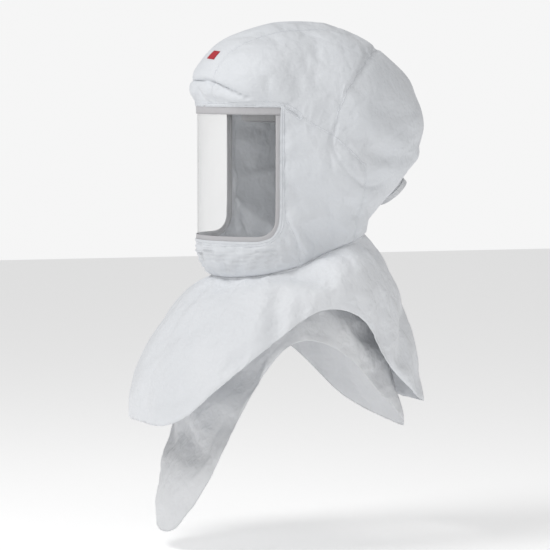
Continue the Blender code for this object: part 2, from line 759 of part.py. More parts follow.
def ratchet(look, knob_look, pad_look, steel):
    """Size adjuster behind the head: base, cover, pinion, knob, screw and pad."""
    a, b = 90 - RATCHET_HALF_ANGLE, 90 + RATCHET_HALF_ANGLE
    wide = STRAP_HALF_HEIGHT + 3.0
    slot = STRAP_HALF_HEIGHT + 0.6
    base = arc_solid("ratchet_base", a, b, -wide, wide, STRAP_R - 3.4, STRAP_R + 1.4, look)
    channel = arc_solid("base_channel", a - 4, b + 4, -slot, slot, STRAP_R - 1.5, STRAP_R + 4, look)
    cut(base, channel)
    cover = arc_solid("ratchet_cover", a, b, -wide, wide, STRAP_R + 1.7, STRAP_R + 3.7, look)
    turn = Matrix.Rotation(math.radians(-90), 3, "X")
    rear = STRAP_AXIS_Y + STRAP_R
    hole = turned_solid("cover_hole", [(4.3, -6), (4.3, 12)], look, 24, (0, rear, 0), turn)
    cut(cover, hole)

    steps = PINION_TEETH * 8
    def tooth(index, k):
        return (2.15, 1.75, 0, 0, 0, 0, 0, 1.75)[k % 8] * MODULE if index < 2 else 0.0

    root = PINION_R - 1.25 * MODULE
    outline = [(root, -1.4), (root, 1.3), (3.6, 1.31), (3.6, 5.0)]
    turned_solid("ratchet_pinion", outline, look, steps, (0, rear, 0), turn, tooth)

    def grip(index, k):
        return -1.1 if index in (2, 3) and k % 4 in (0, 1) else 0.0

    outline = [(3.6, 5.3), (KNOB_R - 2, 5.3), (KNOB_R, 6.4), (KNOB_R - 0.6, 9.4), (KNOB_R - 3, 10.6),
               (4.4, 10.6), (4.0, 8.6)]
    turned_solid("ratchet_knob", outline, knob_look, 48, (0, rear, 0), turn, grip)
    turned_solid("knob_screw", [(3.4, 8.9), (3.4, 9.8), (2.2, 10.4)], steel, 24, (0, rear, 0), turn)
    arc_solid("nape_pad", a + 2, b - 2, -wide, wide, STRAP_R - 8.0, STRAP_R - 3.8, pad_look)


def crown_straps(look):
    """Two straps over the head and the clip where they cross."""
    foot = BAND_HALF_HEIGHT + 0.5

    def over(name, reach, height, start, end, along_x):
        stations = []
        for k in range(17):
            a = math.radians(start + (end - start) * k / 16)
            z = foot + (height - foot) * math.sin(a) ** 0.85
            tangent = Vector((-math.sin(a) * reach, 0, math.cos(a) * height)).normalized()
            normal = Vector((tangent.z, 0, -tangent.x)) * 1.4
            low = Vector((reach * math.cos(a), 0, z))
            wide = Vector((0, 9, 0))
            corners = [low - wide, low - wide + normal, low + wide + normal, low + wide]
            if not along_x:
                corners = [Vector((-c.y, c.x, c.z)) for c in corners]
            stations.append(corners)
        return swept_box(name, stations, look)

    over("crown_strap_side", HEAD_X + 0.4, CROWN_Z, 0, 180, True)
    over("crown_strap_front", HEAD_Y + 0.4, CROWN_Z - 2.4, 80, 180, False)
    clip = [(-13, -13), (13, -13), (13, 13), (-13, 13)]
    prism("crown_clip", clip, CROWN_Z + 1.8, CROWN_Z + 3.6, look)


def harness(look, pad, knob_look, steel):
    band_round_head("headband_front", 100, -BAND_HALF_HEIGHT, BAND_HALF_HEIGHT, 1.0, BAND, look)
    band_round_head("sweatband", 62, -BAND_HALF_HEIGHT - 2, BAND_HALF_HEIGHT - 1, -1.6, 4.0, pad, 20)
    left = strap("strap_left", look)
    right_strap(left, "strap_right")
    strap_guide("strap_guide_left", 1, look)
    strap_guide("strap_guide_right", -1, look)
    ratchet(look, knob_look, pad, steel)
    crown_straps(look)


# ------------------------------------------------------------------------------------ duct and inlet
DUCT_PATH = [(108, -56), (116, -38), (119, -18), (118.5, 0), (115.5, 20), (104, 38), (81, 58), (50, 76),
             (12, 89), (-36, 95), (-76, 86), (-106, 70)]
NOZZLE_PATH = [(-106, 70), (-117, 60), (-124, 48)]


def duct_frame(path, t):
    """Point of the duct's middle line and its outward direction in the middle plane."""
    here = along([(0, y, z) for y, z in path], t)
    ahead = along([(0, y, z) for y, z in path], min(t + 0.01, 1.0))
    behind = along([(0, y, z) for y, z in path], max(t - 0.01, 0.0))
    line = (ahead - behind).normalized()
    return here, Vector((0, line.z, -line.y))


def duct_width(t):
    return 27.0 + 18.0 * smooth(0.35, 1.0, t)


def duct(look):
    """Air duct: an outer channel with side walls, and an inner plate that closes it."""
    steps = 20
    outer, plate = [], []
    for k in range(steps + 1):
        t = k / steps
        here, out = duct_frame(DUCT_PATH, t)
        wide = duct_width(t)
        reach, foot = DUCT_HALF_GAP, -DUCT_HALF_GAP + 1.7
        section = [(-wide, foot), (-wide, reach - 3), (-wide + 3, reach), (wide - 3, reach), (wide, reach - 3),
                   (wide, foot), (wide - DUCT_WALL, foot), (wide - DUCT_WALL, reach - 3.4),
                   (wide - 3.4, reach - DUCT_WALL), (-wide + 3.4, reach - DUCT_WALL),
                   (-wide + DUCT_WALL, reach - 3.4), (-wide + DUCT_WALL, foot)]
        outer.append([here + out * v + Vector((u, 0, 0)) for u, v in section])
        plate.append([here + out * v + Vector((u, 0, 0))
                      for u, v in ((-wide, -DUCT_HALF_GAP), (wide, -DUCT_HALF_GAP),
                                   (wide, -DUCT_HALF_GAP + 1.3), (-wide, -DUCT_HALF_GAP + 1.3))])
    ring_solid("duct_outer_shell", outer, look)
    ring_solid("duct_inner_plate", plate, look)


def ring_solid(name, rings, look):
    """A solid through rings of points, with flat ends."""
    count = len(rings[0])
    points = [p for ring in rings for p in ring]
    faces = [tuple(range(count))]
    for k in range(len(rings) - 1):
        a, b = k * count, (k + 1) * count
        for i in range(count):
            j = (i + 1) % count
            faces.append((a + j, a + i, b + i, b + j))
    last = (len(rings) - 1) * count
    faces.append(tuple(last + i for i in reversed(range(count))))
    return add_object(name, points, faces, look)


def rounded_tube(stations, cols):
    """Grid of closed rings; each station is a centre, two half axes and how square it is."""
    grid = []
    for centre, across, up, power in stations:
        line = []
        for i in range(cols):
            a = 2 * math.pi * (i + 0.5) / cols
            c, s = math.cos(a), math.sin(a)
            size = (abs(c) ** power + abs(s) ** power) ** (-1 / power)
            line.append(centre + across * c * size + up * s * size)
        grid.append(line)
    return grid


def outlet(look, knob_look):
    """Outlet over the face: a flat nozzle with a vane turning in it and a small knob to set the vane."""
    stations = []
    end, end_out = duct_frame(DUCT_PATH, 1.0)
    for t in (0.0, 0.5, 1.0):
        here, out = duct_frame(NOZZLE_PATH, t)
        if t == 0.0:
            here, out = end + Vector((0, -end_out.z, end_out.y)) * NOZZLE_GAP, end_out
        wide = duct_width(1.0) + (NOZZLE_HALF_WIDTH - duct_width(1.0)) * smooth(0.0, 0.6, t)
        stations.append((here, Vector((wide, 0, 0)), out * (DUCT_HALF_GAP + 1.6 * t), 12.0))
    nozzle = thick_sheet("outlet_nozzle", rounded_tube(stations, 28), 1.3, look, around=True, inward=-1.0)
    pivot, out = duct_frame(NOZZLE_PATH, 0.74)
    across = Matrix.Rotation(math.radians(90), 3, "Y")
    hole = turned_solid("vane_hole", [(2.0, -70), (2.0, 70)], look, 16, pivot, across)
    cut(nozzle, hole)
    half = NOZZLE_HALF_WIDTH - 2.4
    line = Vector((0, -out.z, out.y))
    plate = []
    for x in (-half, half):
        plate.append([pivot + Vector((x, 0, 0)) + line * a + out * b
                      for a, b in ((-6, -0.6), (5, -0.6), (5, 0.6), (-6, 0.6))])
    vane = swept_box("deflector_vane", plate, look)
    on_axis(vane, pivot)
    pin = turned_solid("vane_pin", [(1.5, -half - 3.0), (1.5, half + 6.0)], look, 16, pivot, across)
    join_to(vane, pin)
    shift = half + 4.2
    knob = lathe("vane_knob", [(1.8, shift), (6.0, shift), (6.0, shift + 5), (1.8, shift + 5)], knob_look, 20,
                 pivot, across, lambda i, k: -0.7 if i in (1, 2) and k % 2 else 0.0)
    return knob


BRACKET_REACH = {1: 6.6, -1: 12.5}     # from the size adjuster back to the duct, upper and lower


def brackets(look):
    """Arms from the headband to the nozzle, and two feet from the size adjuster to the duct."""
    for name, side in (("brow_arm_left", 1), ("brow_arm_right", -1)):
        stations = []
        for (x, y, z), out in (((34, -93.5, 14), 2.2), ((34, -97, 30), 2.2), ((34, -103.5, 46), 2.2),
                               ((34, -104.5, 56), 2.2)):
            p = Vector((x * side, y, z))
            corners = [p + Vector((-6, 0, 0)), p + Vector((-6, -out, 0)), p + Vector((6, -out, 0)),
                       p + Vector((6, 0, 0))]
            stations.append(corners)
        swept_box(name, stations, look)
    rear = STRAP_AXIS_Y + STRAP_R
    for name, side in (("rear_bracket_upper", 1), ("rear_bracket_lower", -1)):
        level = BAND_HALF_HEIGHT + 2.0
        route = [(rear - 2.0, level), (rear - 1.0, level + 6.0), (rear + 5.0, level + 9.0),
                 (rear + BRACKET_REACH[side], level + 9.6)]
        stations = []
        for k, (y, z) in enumerate(route):
            lean = (0.0, 0.5, 0.9, 1.0)[k]
            across = Vector((0, lean - 1.0, lean * 1.0)).normalized() * 1.0
            p, across = Vector((0, y, z * side)), Vector((0, across.y, across.z * side))
            stations.append([p + Vector((-11, 0, 0)) - across, p + Vector((11, 0, 0)) - across,
                             p + Vector((11, 0, 0)) + across, p + Vector((-11, 0, 0)) + across])
        swept_box(name, stations, look)


def inlet(look, rubber, knob_look, back_panel, elastic):
    """Tube inlet at the back: elbow from the duct, socket, seal, turning collar and release button."""
    lean = math.radians(INLET_TILT)
    axis = Vector((0, math.sin(lean), -math.cos(lean)))
    turn = Matrix((Vector((1, 0, 0)), axis.cross(Vector((1, 0, 0))), axis)).transposed()
    start, out = duct_frame(DUCT_PATH, 0.0)
    wide = Vector((27.0, 0, 0))
    round_side, round_up = Vector((SOCKET_R, 0, 0)), Vector((0, -axis.z, axis.y)) * SOCKET_R
    first = start - Vector((0, -out.z, out.y)) * 0.8
    last = INLET_CENTRE - axis * 3.0
    stations = []
    for t in (0.0, 0.35, 0.7, 1.0):
        stations.append((first.lerp(last, t), wide.lerp(round_side, t),
                         (out * DUCT_HALF_GAP).lerp(round_up, t), 7.0 - 5.0 * smooth(0, 1, t)))
    stations.append((INLET_CENTRE - axis, round_side, round_up, 2.0))
    thick_sheet("inlet_elbow", rounded_tube(stations, 32), 1.5, look, around=True, inward=-1.0)
    base = INLET_CENTRE
    socket = lathe("inlet_socket", [(SOCKET_BORE, -0.6), (SOCKET_R, -0.6), (SOCKET_R, SOCKET_LENGTH),
                                    (SOCKET_BORE, SOCKET_LENGTH), (SOCKET_BORE, 4.0),
                                    (SOCKET_BORE + 1.6, 3.6), (SOCKET_BORE + 1.6, 1.2),
                                    (SOCKET_BORE, 0.8)], look, 32, base, turn)
    lathe("inlet_gasket", [(SOCKET_BORE - 0.6, 1.6), (SOCKET_BORE + 1.2, 1.6), (SOCKET_BORE + 1.2, 3.2),
                           (SOCKET_BORE - 0.6, 3.2)], rubber, 32, base, turn)
    low, high = COLLAR_START, SOCKET_LENGTH + 0.4
    collar = lathe("inlet_collar", [(SOCKET_R + 0.35, low), (SOCKET_R + 2.4, low), (SOCKET_R + 2.4, high),
                                    (SOCKET_R + 0.35, high)], knob_look, 48, base, turn,
                   lambda i, k: 0.9 if i in (1, 2) and k % 16 in (0, 1, 2) else 0.0)
    release_button(socket, base, turn, knob_look)
    reach = SOCKET_R + SLEEVE_REACH + 0.6
    hole = turned_solid("inlet_hole", [(reach, -16), (reach, 30)], look, 40, base, turn)
    cut(back_panel, hole)
    hem = []
    for radius in (SOCKET_R + SLEEVE_REACH, SOCKET_R + SLEEVE_REACH / 2, SOCKET_R + 0.6):
        hem.append([where_on_hood(base, turn, radius, 360.0 * k / 40) for k in range(40)])
    thick_sheet("inlet_sleeve", hem, SHELL, elastic, around=True, facing=hood_normal)
    return collar


def where_on_hood(base, turn, radius, angle):
    """The point of the hood's face at a radius and an angle round the inlet's axis."""
    a = math.radians(angle)
    foot = base + turn @ Vector((radius * math.cos(a), radius * math.sin(a), 0))
    axis = turn @ Vector((0, 0, 1))
    low, high = -20.0, 20.0
    for _ in range(30):
        middle = (low + high) / 2
        p = foot + axis * middle
        outside = math.hypot(p.x, p.y - AXIS_Y) > math.hypot(on_hood(p).x, on_hood(p).y - AXIS_Y)
        if outside:
            high = middle
        else:
            low = middle
    return foot + axis * low


def release_button(socket, base, turn, look):
    """Button on the socket's side that frees the tube's latch: it slides towards the inlet's axis."""
    reach = SOCKET_R + 0.35
    face = reach + BUTTON_TRAVEL + 2.0
    sections = [(SOCKET_BORE + 0.4, 3.0, 1.6), (reach + BUTTON_TRAVEL, 3.0, 1.6),
                (reach + BUTTON_TRAVEL + 0.01, 5.5, 2.8), (face - 0.5, 5.5, 2.8), (face, 5.0, 2.3)]
    stations = []
    for out, wide, deep in sections:
        corners = ((-wide, -deep), (-wide, deep), (wide, deep), (wide, -deep))
        stations.append([base + turn @ Vector((u, out, BUTTON_PLACE + w)) for u, w in corners])
    button = swept_box("release_button", stations, look)
    on_axis(button, base + turn @ Vector((0, reach, BUTTON_PLACE)))
    window = []
    for out in (SOCKET_BORE - 3, SOCKET_R + 3):
        corners = ((-3.35, -1.95), (-3.35, 1.95), (3.35, 1.95), (3.35, -1.95))
        window.append([base + turn @ Vector((u, out, BUTTON_PLACE + w)) for u, w in corners])
    cut(socket, swept_box("button_window", window, look))


def main():
    clear_scene()
    hood_white = material("hood_fabric", WHITE, 0.7)
    bib_white = material("bib_fabric", WHITE, 0.7)
    inner_white = material("inner_fabric", WHITE, 0.75)
    clear = material("visor_clear", (0.9, 0.93, 0.95), 0.05, alpha=0.2)
    tape = material("visor_tape", SHADE, 0.6)
    label = material("label_cloth", (0.75, 0.76, 0.78), 0.7)
    elastic = material("elastic", (0.7, 0.7, 0.7), 0.8)
    frame = material("harness_plastic", (0.16, 0.17, 0.18), 0.5)
    foam = material("foam", (0.10, 0.10, 0.11), 0.9)
    knob = material("knob_plastic", (0.05, 0.05, 0.06), 0.45)
    steel = material("steel", (0.6, 0.6, 0.62), 0.3, 1.0)
    rubber = material("seal_rubber", (0.03, 0.03, 0.03), 0.7)
    back = fabric_panels(hood_white)
    visor_lens(clear)
    visor_bindings(tape)
    shrouds(bib_white, inner_white)
    neck_elastic(elastic)
    label_patch(label)
    harness(frame, foam, knob, steel)
    duct(frame)
    outlet(frame, knob)
    brackets(frame)
    inlet(frame, rubber, knob, back, elastic)


main()
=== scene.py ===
# %% [markdown]
# # An air-fed hood of non-woven fabric
#
# This hood goes over the head of somebody who works in dust or paint. Air comes in at the back, runs through a
# duct over the head and leaves above the face. The outside is nearly all fabric: a sewn hood, an outer shroud
# over the shoulders, and a longer inner shroud. The hard parts are already modelled and stay as they are. This
# file makes the cloth, the visor and every finish.
#
# The box round it is kept, because the cloth has to stay inside it.

# %% Load the frame
import json
import math

import bmesh
import bpy
import numpy as np
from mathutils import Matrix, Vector, kdtree, noise
from mathutils.bvhtree import BVHTree


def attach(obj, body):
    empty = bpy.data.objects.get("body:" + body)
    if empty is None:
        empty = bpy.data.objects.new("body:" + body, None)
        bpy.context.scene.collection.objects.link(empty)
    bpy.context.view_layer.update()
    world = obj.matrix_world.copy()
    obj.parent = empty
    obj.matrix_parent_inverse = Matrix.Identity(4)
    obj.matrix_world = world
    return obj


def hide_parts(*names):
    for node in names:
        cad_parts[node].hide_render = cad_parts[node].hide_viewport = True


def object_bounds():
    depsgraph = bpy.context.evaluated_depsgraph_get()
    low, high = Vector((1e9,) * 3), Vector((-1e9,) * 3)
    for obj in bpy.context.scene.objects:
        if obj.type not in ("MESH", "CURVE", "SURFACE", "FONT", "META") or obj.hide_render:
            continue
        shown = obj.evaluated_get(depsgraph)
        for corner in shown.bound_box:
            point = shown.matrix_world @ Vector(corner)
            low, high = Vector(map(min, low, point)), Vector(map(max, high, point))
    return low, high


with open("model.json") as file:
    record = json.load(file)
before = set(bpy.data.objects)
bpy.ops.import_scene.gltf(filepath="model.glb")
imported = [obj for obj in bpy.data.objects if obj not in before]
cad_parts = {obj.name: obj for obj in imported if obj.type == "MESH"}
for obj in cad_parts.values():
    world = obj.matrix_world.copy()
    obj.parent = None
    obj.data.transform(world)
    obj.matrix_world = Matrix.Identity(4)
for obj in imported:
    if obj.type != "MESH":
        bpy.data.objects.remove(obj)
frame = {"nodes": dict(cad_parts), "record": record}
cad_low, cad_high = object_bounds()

MM = 0.001

# %% [markdown]
# ## The camera
#
# A product picture is taken from a distance with a long lens, so that near and far parts keep their size. The
# camera stands to the left of the wearer's face and a little above the middle of the hood.

# %% Camera
AZIMUTH = 70.0
ELEVATION = 3.7
DISTANCE = 4.5
SENSOR = 36.0
PICTURE_WIDTH = 0.715
LOOK_ACROSS = -0.0546
LOOK_HEIGHT = -0.2145


def camera_back(azimuth, elevation):
    a, e = math.radians(azimuth), math.radians(elevation)
    return Vector((math.sin(a) * math.cos(e), -math.cos(a) * math.cos(e), math.sin(e)))


def make_camera():
    bpy.ops.object.select_all(action="DESELECT")
    turn = math.radians(AZIMUTH)
    right = Vector((math.cos(turn), math.sin(turn), 0))
    target = right * LOOK_ACROSS + Vector((0, 0, LOOK_HEIGHT))
    back = camera_back(AZIMUTH, ELEVATION)
    bpy.ops.object.camera_add(location=target + back * DISTANCE)
    camera = bpy.context.object
    camera.name = "camera"
    camera.rotation_mode = "QUATERNION"
    camera.rotation_quaternion = (-back).to_track_quat("-Z", "Y")
    camera.data.sensor_width = SENSOR
    camera.data.lens = SENSOR * DISTANCE / PICTURE_WIDTH
    camera.data.clip_end = 20.0
    bpy.context.scene.camera = camera
    return camera


camera = make_camera()
print("camera lens:", round(camera.data.lens, 1), "mm")

# %% [markdown]
# ## Floor and light
#
# A white product needs soft light from large lamps, or its creases turn harsh. One lamp stands in front and
# high, a weaker one fills from the other side, and a pale world fills the rest.

# %% Floor and lights
FLOOR_DROP = 0.02
FLOOR_SIZE = 12.0
FLOOR_COLOUR = (0.97, 0.97, 0.97)
FLOOR_GLOW = 0.34


def make_floor():
    bpy.ops.mesh.primitive_plane_add(size=FLOOR_SIZE, location=(0, 0, cad_low.z - FLOOR_DROP))
    floor = bpy.context.object
    floor.name = "floor"
    look = bpy.data.materials.new("floor_paper")
    look.use_nodes = True
    shader = look.node_tree.nodes["Principled BSDF"]
    shader.inputs["Base Color"].default_value = (*FLOOR_COLOUR, 1)
    shader.inputs["Roughness"].default_value = 0.9
    shader.inputs["Emission Color"].default_value = (1, 1, 1, 1)
    shader.inputs["Emission Strength"].default_value = FLOOR_GLOW
    floor.data.materials.append(look)
    return floor


def make_lamp(name, azimuth, elevation, distance, size, power):
    target = Vector((0, 0, LOOK_HEIGHT))
    back = camera_back(azimuth, elevation)
    bpy.ops.object.light_add(type="AREA", location=target + back * distance)
    lamp = bpy.context.object
    lamp.name = name
    lamp.rotation_mode = "QUATERNION"
    lamp.rotation_quaternion = (-back).to_track_quat("-Z", "Y")
    lamp.data.shape = "DISK"
    lamp.data.size = size
    lamp.data.energy = power
    return lamp


def make_world(strength, backdrop):
    """A pale room: its light on the object, and how bright its walls look."""
    world = bpy.data.worlds.new("pale_room")
    world.use_nodes = True
    tree = world.node_tree
    seen = tree.nodes["Background"]
    seen.inputs["Color"].default_value = (1, 1, 1, 1)
    seen.inputs["Strength"].default_value = backdrop
    lighting = tree.nodes.new("ShaderNodeBackground")
    lighting.inputs["Color"].default_value = (1, 1, 1, 1)
    lighting.inputs["Strength"].default_value = strength
    path = tree.nodes.new("ShaderNodeLightPath")
    choose = tree.nodes.new("ShaderNodeMixShader")
    tree.links.new(path.outputs["Is Camera Ray"], choose.inputs[0])
    tree.links.new(lighting.outputs[0], choose.inputs[1])
    tree.links.new(seen.outputs[0], choose.inputs[2])
    tree.links.new(choose.outputs[0], tree.nodes["World Output"].inputs["Surface"])
    bpy.context.scene.world = world


floor = make_floor()
make_lamp("key_lamp", 12, 50, 2.2, 1.1, 20)
make_lamp("fill_lamp", 115, 25, 2.6, 1.6, 5)
make_world(0.40, 0.92)
bpy.context.scene.view_settings.view_transform = "Standard"

# %% [markdown]
# ## Shader sums
#
# Materials here are patterns worked out by nodes. Writing them as sums is easier to read than linking boxes, so
# one small class wraps a socket, and an expression on it adds the Math nodes.

# %% Shader helpers
class Value:
    """A number that varies over a surface: a socket of a node tree that can be used in sums."""

    def __init__(self, tree, socket):
        self.tree = tree
        self.socket = socket

    def node(self, kind, settings=None, **inputs):
        """Adds any other node to the same tree: its settings first, then its sockets' values or links."""
        made = self.tree.nodes.new(kind)
        for name, value in (settings or {}).items():
            setattr(made, name, value)
        for name, value in inputs.items():
            place = made.inputs[int(name[1:])] if name[1:].isdigit() else made.inputs[name.replace("_", " ")]
            if isinstance(value, Value):
                self.tree.links.new(value.socket, place)
            else:
                place.default_value = value
        return made

    def sum(self, operation, first, second):
        made = self.node("ShaderNodeMath", {"operation": operation}, i0=first, i1=second)
        return Value(self.tree, made.outputs[0])

    def __add__(self, other):
        return self.sum("ADD", self, other)

    def __radd__(self, other):
        return self.sum("ADD", other, self)

    def __sub__(self, other):
        return self.sum("SUBTRACT", self, other)

    def __rsub__(self, other):
        return self.sum("SUBTRACT", other, self)

    def __mul__(self, other):
        return self.sum("MULTIPLY", self, other)

    def __rmul__(self, other):
        return self.sum("MULTIPLY", other, self)

    def __pow__(self, other):
        return self.sum("POWER", self, other)

    def between(self, low, high):
        """0 below low, 1 above high, smooth between them."""
        made = self.node("ShaderNodeMapRange", {"interpolation_type": "SMOOTHSTEP"}, i0=self, i1=low, i2=high)
        return Value(self.tree, made.outputs[0])


class Finish:
    """A material whose pattern is read from Object coordinates, in metres."""

    def __init__(self, name, colour, roughness, metallic=0.0):
        self.material = bpy.data.materials.new(name)
        self.material.use_nodes = True
        self.tree = self.material.node_tree
        self.shader = self.tree.nodes["Principled BSDF"]
        self.shader.inputs["Base Color"].default_value = (*colour, 1)
        self.shader.inputs["Roughness"].default_value = roughness
        self.shader.inputs["Metallic"].default_value = metallic
        place = self.tree.nodes.new("ShaderNodeTexCoord")
        self.place = Value(self.tree, place.outputs["Object"])

    def stretched(self, scale):
        """Object coordinates squeezed or stretched along the three axes."""
        made = self.place.node("ShaderNodeMapping", None, Vector=self.place, Scale=scale)
        return Value(self.tree, made.outputs[0])

    def grain(self, scale, detail=3.0, place=None):
        made = self.place.node("ShaderNodeTexNoise", None, Vector=place or self.place, Scale=scale, Detail=detail)
        return Value(self.tree, made.outputs["Fac"])

    def crease(self, scale, place=None):
        """Distance to the borders of random cells: thin creases between flat facets."""
        made = self.place.node("ShaderNodeTexVoronoi", {"feature": "DISTANCE_TO_EDGE"}, Vector=place or self.place,
                               Scale=scale)
        return Value(self.tree, made.outputs["Distance"])

    def blend(self, mask, first, second):
        made = self.place.node("ShaderNodeMix", {"data_type": "RGBA"}, i0=mask)
        made.inputs[6].default_value = (*first, 1)
        made.inputs[7].default_value = (*second, 1)
        return Value(self.tree, made.outputs[2])

    def feed(self, socket, value):
        self.tree.links.new(value.socket, self.shader.inputs[socket])

    def raise_by(self, height, distance, strength=1.0):
        made = self.place.node("ShaderNodeBump", None, Height=height, Distance=distance, Strength=strength)
        self.feed("Normal", Value(self.tree, made.outputs[0]))


print("shader helpers ready")

# %% [markdown]
# ## Non-woven fabric
#
# The hood's fabric is a sheet of pressed plastic fibres, like the paper of a strong envelope. It is matt white
# with a cool tint, it creases into small flat facets with sharp borders, and close up it shows swirls of fibre.
# Three sizes of pattern are added up: facets of about 20 mm, crinkles of 5 mm and fibres under 1 mm.

# %% Fabric finish
def non_woven(name, light, shade, crumple, roughness=0.62):
    made = Finish(name, light, roughness)
    drift = made.grain(9.0, 2.0)
    fibres = made.grain(900.0, 4.0, made.stretched((1.0, 1.0, 0.35)))
    crinkle = made.grain(140.0, 3.0)
    facets = made.crease(46.0).between(0.0, 0.34)
    fine_facets = made.crease(120.0).between(0.0, 0.40)
    mask = drift.between(0.35, 0.7) * 0.55 + crinkle * 0.25 + fibres * 0.2
    made.feed("Base Color", made.blend(mask, shade, light))
    made.feed("Roughness", roughness - 0.10 + 0.2 * fibres)
    height = facets * (0.9 * crumple) + fine_facets * (0.35 * crumple) + crinkle * (0.5 * crumple)
    made.raise_by(height + fibres * 0.10, 0.0013, 0.6)
    made.shader.inputs["Sheen Weight"].default_value = 0.12
    return made.material


# One fabric in three copies. The outer shroud's copy is painted lighter, as painted light from above. The inner
# shroud's copy is painted darker and warmer, as painted shade under the outer shroud.
hood_cloth = non_woven("hood_cloth", (0.80, 0.82, 0.85), (0.74, 0.765, 0.80), 0.8)
bib_cloth_painted_light = non_woven("bib_cloth_painted_light", (0.86, 0.875, 0.90), (0.80, 0.82, 0.85), 1.0)
inner_cloth_painted_shade = non_woven("inner_cloth_painted_shade", (0.80, 0.81, 0.825), (0.74, 0.75, 0.77), 1.0)
print("fabric finishes:", hood_cloth.name, bib_cloth_painted_light.name, inner_cloth_painted_shade.name)

# %% [markdown]
# ## Cutting a sheet from a solid
#
# The hard model holds each panel as a thin closed solid. Real fabric is one skin, so each panel is copied, its
# doubles are merged, and the largest smooth region that faces outwards is kept. The panels' edges lie about a
# millimetre apart, which is close enough to weld into one sewn sheet.

# %% Sheet helpers
EDGE_TURN = 55.0


def select_only(piece):
    bpy.ops.object.select_all(action="DESELECT")
    piece.select_set(True)
    bpy.context.view_layer.objects.active = piece


def smooth_regions(mesh):
    """Groups of faces that meet at less than a sharp edge."""
    seen, groups = set(), []
    for start in mesh.faces:
        if start in seen:
            continue
        group, queue = [], [start]
        seen.add(start)
        while queue:
            face = queue.pop()
            group.append(face)
            for edge in face.edges:
                if len(edge.link_faces) != 2 or edge.calc_face_angle(0) > math.radians(EDGE_TURN):
                    continue
                for other in edge.link_faces:
                    if other not in seen:
                        seen.add(other)
                        queue.append(other)
        groups.append(group)
    return groups


def outer_skin(node, centre):
    """A copy of a CAD node's outer face as a mesh object of quads."""
    source = frame["nodes"][node]
    data = bpy.data.meshes.new(node + "_skin")
    shape = bmesh.new()
    shape.from_mesh(source.data)
    bmesh.ops.remove_doubles(shape, verts=shape.verts, dist=0.02 * MM)
    shape.normal_update()
    groups = sorted(smooth_regions(shape), key=lambda g: -sum(f.calc_area() for f in g))[:2]

    def outward(group):
        return sum((f.calc_center_median() - centre).dot(f.normal) * f.calc_area() for f in group)

    keep = set(max(groups, key=outward))
    bmesh.ops.delete(shape, geom=[f for f in shape.faces if f not in keep], context="FACES")
    bmesh.ops.join_triangles(shape, faces=shape.faces, angle_face_threshold=3.1, angle_shape_threshold=3.1)
    shape.to_mesh(data)
    shape.free()
    made = bpy.data.objects.new(node + "_skin", data)
    bpy.context.scene.collection.objects.link(made)
    return made


def sewn_sheet(name, nodes, centre, weld):
    """One sheet from several panels; the edges that were sewn are marked as seams."""
    skins = [outer_skin(node, centre) for node in nodes]
    for skin in skins:
        for edge_index, edge in enumerate(skin.data.edges):
            edge.use_seam = False
        shape = bmesh.new()
        shape.from_mesh(skin.data)
        for edge in shape.edges:
            edge.seam = edge.is_boundary
        shape.to_mesh(skin.data)
        shape.free()
    bpy.ops.object.select_all(action="DESELECT")
    for skin in skins:
        skin.select_set(True)
    bpy.context.view_layer.objects.active = skins[0]
    if len(skins) > 1:
        bpy.ops.object.join()
    made = bpy.context.view_layer.objects.active
    made.name = name
    made.data.name = name
    shape = bmesh.new()
    shape.from_mesh(made.data)
    rims = [v for v in shape.verts if v.is_boundary]
    bmesh.ops.remove_doubles(shape, verts=rims, dist=weld)
    bmesh.ops.recalc_face_normals(shape, faces=shape.faces)
    total = sum((f.calc_center_median() - centre).dot(f.normal) * f.calc_area() for f in shape.faces)
    if total < 0:
        bmesh.ops.reverse_faces(shape, faces=shape.faces)
    shape.to_mesh(made.data)
    shape.free()
    return made


def divide(piece, levels, kind="CATMULL_CLARK"):
    step = piece.modifiers.new("divide", "SUBSURF")
    step.levels = step.render_levels = levels
    step.subdivision_type = kind
    step.boundary_smooth = "PRESERVE_CORNERS"
    select_only(piece)
    bpy.ops.object.modifier_apply(modifier=step.name)


def points_of(piece):
    flat = np.empty(len(piece.data.vertices) * 3)
    piece.data.vertices.foreach_get("co", flat)
    return flat.reshape(-1, 3)


def set_points(piece, points):
    piece.data.vertices.foreach_set("co", points.ravel())
    piece.data.update()


def normals_of(piece):
    flat = np.empty(len(piece.data.vertices) * 3)
    piece.data.vertices.foreach_get("normal", flat)
    return flat.reshape(-1, 3)


def marked(piece, boundary):
    """Numbers of the vertices on open edges, or on sewn seams."""
    shape = bmesh.new()
    shape.from_mesh(piece.data)
    found = set()
    for edge in shape.edges:
        if edge.is_boundary == boundary and (boundary or edge.seam):
            found.update(v.index for v in edge.verts)
    shape.free()
    return sorted(found)


def distance_to(piece, numbers):
    """Each vertex's distance to the nearest of some of them."""
    points = points_of(piece)
    tree = kdtree.KDTree(max(1, len(numbers)))
    for number in numbers:
        tree.insert(points[number], number)
    tree.balance()
    return np.array([tree.find(p)[2] if numbers else 1.0 for p in points])


print("sheet helpers ready")

# %% [markdown]
# ## Creases by simulation
#
# Fabric that is a little too large for its seams has to buckle, and that is what makes a crumpled hood look
# real. The cloth solver does this well: gravity is off, the sewn edges are pinned, and the fabric grows by two
# or three per cent. A cap keeps any point from moving further than the real fabric could.

# %% Crumple by cloth simulation
CLOTH_FRAMES = 20


